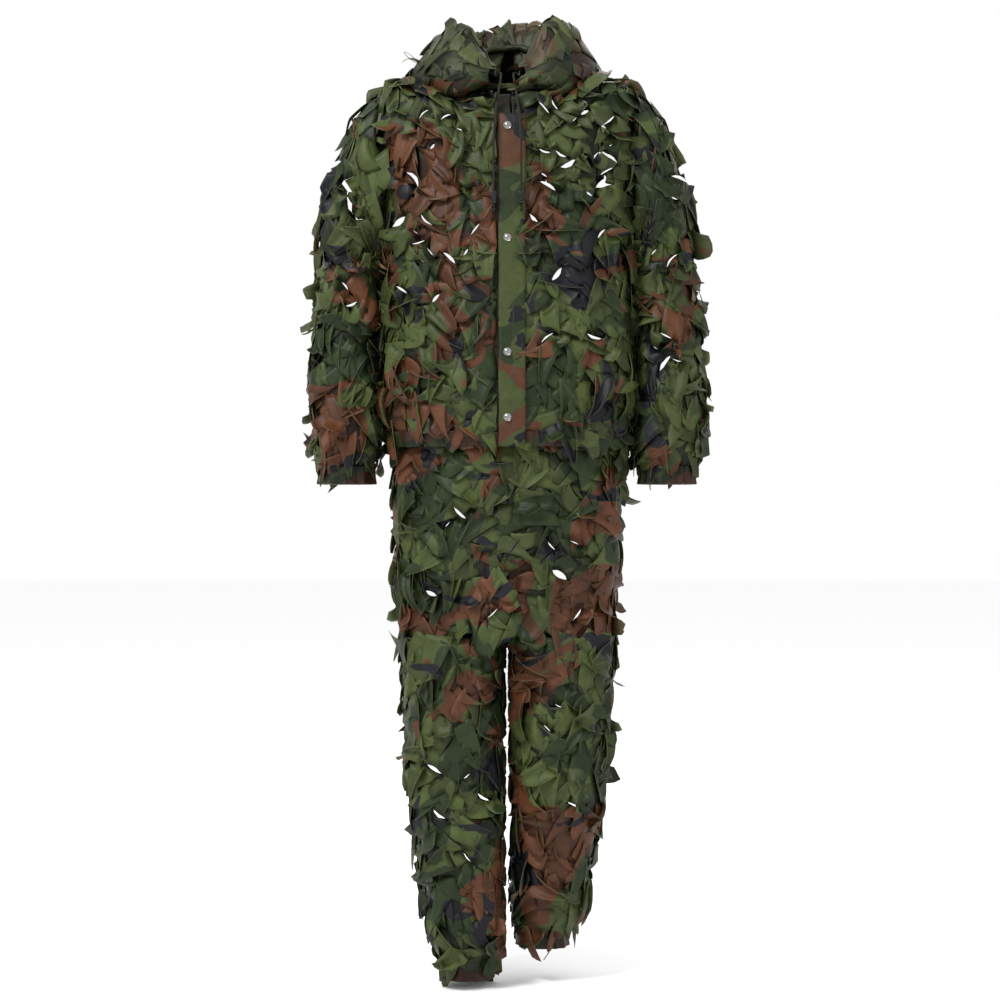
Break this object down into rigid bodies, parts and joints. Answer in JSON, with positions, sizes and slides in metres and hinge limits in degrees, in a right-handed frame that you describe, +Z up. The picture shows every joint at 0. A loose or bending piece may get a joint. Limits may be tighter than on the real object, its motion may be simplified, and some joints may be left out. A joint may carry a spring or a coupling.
{
  "type": "leaf camouflage suit",
  "caption": "Two-piece leaf-camouflage suit: hooded jacket with snap front, drawcord and elastic hems, over trousers with elastic waist and ankles.",
  "frame": {"origin": "centre of the jacket's neck opening, level with the neck seam", "axes": "+Z up, the front of the suit faces -Y, the wearer's left is +X"},
  "size_m": [0.656, 0.3233, 1.6113],
  "materials": {
    "leaf_cloth": "matt camouflage polyester, laser-cut into leaves",
    "plain_cloth": "matt camouflage polyester, uncut",
    "hem_cloth": "matt dark woven tape",
    "elastic": "braided elastic",
    "cord": "braided olive cord",
    "stop_plastic": "moulded black",
    "snap_metal": "bright nickel plate"
  },
  "bodies": {
    "jacket": {"jacket_back": "leaf_cloth", "left_front_panel": "leaf_cloth", "right_front_panel": "leaf_cloth", "back_hem": "hem_cloth", "back_hem_elastic": "elastic", "placket_top": "plain_cloth", "under_placket_top": "plain_cloth", "snap_cap_1": "snap_metal", "snap_socket_1": "snap_metal", "snap_stud_1": "snap_metal", "neck_band": "plain_cloth", "left_cord": "cord", "right_cord": "cord", "left_cord_knot": "cord", "right_cord_knot": "cord"},
    "left_front": {"left_front_flap": "leaf_cloth", "left_flap_hem": "hem_cloth", "placket_flap": "plain_cloth", "snap_cap_2": "snap_metal", "snap_socket_2": "snap_metal", "snap_cap_3": "snap_metal", "snap_socket_3": "snap_metal", "snap_cap_4": "snap_metal", "snap_socket_4": "snap_metal"},
    "right_front": {"right_front_flap": "leaf_cloth", "right_flap_hem": "hem_cloth", "under_placket_flap": "plain_cloth", "snap_stud_2": "snap_metal", "snap_stud_3": "snap_metal", "snap_stud_4": "snap_metal"},
    "hood": {"hood_left": "leaf_cloth", "hood_right": "leaf_cloth", "hood_edge_casing": "plain_cloth", "hood_drawcord": "cord", "left_eyelet": "snap_metal", "right_eyelet": "snap_metal"},
    "trousers": {"trousers_left_half": "leaf_cloth", "trousers_right_half": "leaf_cloth", "waist_casing": "hem_cloth", "waist_elastic": "elastic"},
    "left_upper_arm": {"left_upper_sleeve": "leaf_cloth"},
    "left_forearm": {"left_forearm_sleeve": "leaf_cloth", "left_cuff": "hem_cloth", "left_cuff_elastic": "elastic"},
    "left_thigh": {"left_thigh": "leaf_cloth"},
    "left_lower_leg": {"left_shin": "leaf_cloth", "left_ankle_casing": "hem_cloth", "left_ankle_elastic": "elastic"},
    "left_stop": {"left_cord_stop": "stop_plastic"},
    "left_button": {"left_stop_button": "stop_plastic"},
    "right_upper_arm": {"right_upper_sleeve": "leaf_cloth"},
    "right_forearm": {"right_forearm_sleeve": "leaf_cloth", "right_cuff": "hem_cloth", "right_cuff_elastic": "elastic"},
    "right_thigh": {"right_thigh": "leaf_cloth"},
    "right_lower_leg": {"right_shin": "leaf_cloth", "right_ankle_casing": "hem_cloth", "right_ankle_elastic": "elastic"},
    "right_stop": {"right_cord_stop": "stop_plastic"},
    "right_button": {"right_stop_button": "stop_plastic"}
  },
  "joints": [
    {"name": "left_front_swing", "type": "hinge", "parent": "jacket", "child": "left_front", "pos_m": [0.14, -0.151, -0.4], "axis": [0, 0, 1], "range_deg": [0, 60]},
    {"name": "right_front_swing", "type": "hinge", "parent": "jacket", "child": "right_front", "pos_m": [-0.14, -0.151, -0.4], "axis": [0, 0, -1], "range_deg": [0, 48]},
    {"name": "hood_lift", "type": "hinge", "parent": "jacket", "child": "hood", "pos_m": [0, -0.088, 0.0102], "axis": [1, 0, 0], "range_deg": [0, 45]},
    {"name": "trousers_slide", "type": "slide", "parent": "jacket", "child": "trousers", "axis": [0, 0, -1], "range_m": [0, 0.15]},
    {"name": "left_shoulder", "type": "hinge", "parent": "jacket", "child": "left_upper_arm", "pos_m": [0.2092, 0, -0.0377], "axis": [0, -1, 0], "range_deg": [0, 75]},
    {"name": "left_elbow", "type": "hinge", "parent": "left_upper_arm", "child": "left_forearm", "pos_m": [0.267, -0.0746, -0.385], "axis": [-1, 0, 0], "range_deg": [0, 65]},
    {"name": "left_hip", "type": "hinge", "parent": "trousers", "child": "left_thigh", "pos_m": [0.09, -0.1006, -0.903], "axis": [-1, 0, 0], "range_deg": [0, 60]},
    {"name": "left_knee", "type": "hinge", "parent": "left_thigh", "child": "left_lower_leg", "pos_m": [0.085, 0.0866, -1.16], "axis": [1, 0, 0], "range_deg": [0, 75]},
    {"name": "left_stop_slide", "type": "slide", "parent": "jacket", "child": "left_stop", "axis": [0, 0, 1], "range_m": [0, 0.06]},
    {"name": "left_stop_press", "type": "slide", "parent": "left_stop", "child": "left_button", "axis": [0, 1, 0], "range_m": [0, 0.0008], "stiffness_N_per_m": 200},
    {"name": "right_shoulder", "type": "hinge", "parent": "jacket", "child": "right_upper_arm", "pos_m": [-0.2092, 0, -0.0377], "axis": [0, 1, 0], "range_deg": [0, 75]},
    {"name": "right_elbow", "type": "hinge", "parent": "right_upper_arm", "child": "right_forearm", "pos_m": [-0.267, -0.0746, -0.385], "axis": [-1, 0, 0], "range_deg": [0, 65]},
    {"name": "right_hip", "type": "hinge", "parent": "trousers", "child": "right_thigh", "pos_m": [-0.09, -0.1006, -0.903], "axis": [-1, 0, 0], "range_deg": [0, 60]},
    {"name": "right_knee", "type": "hinge", "parent": "right_thigh", "child": "right_lower_leg", "pos_m": [-0.085, 0.0866, -1.16], "axis": [1, 0, 0], "range_deg": [0, 75]},
    {"name": "right_stop_slide", "type": "slide", "parent": "jacket", "child": "right_stop", "axis": [0, 0, 1], "range_m": [0, 0.06]},
    {"name": "right_stop_press", "type": "slide", "parent": "right_stop", "child": "right_button", "axis": [0, 1, 0], "range_m": [0, 0.0008], "stiffness_N_per_m": 200}
  ],
  "couplings": [
    {"joint": "right_front_swing", "follows": "left_front_swing", "ratio": 0.8}
  ]
}
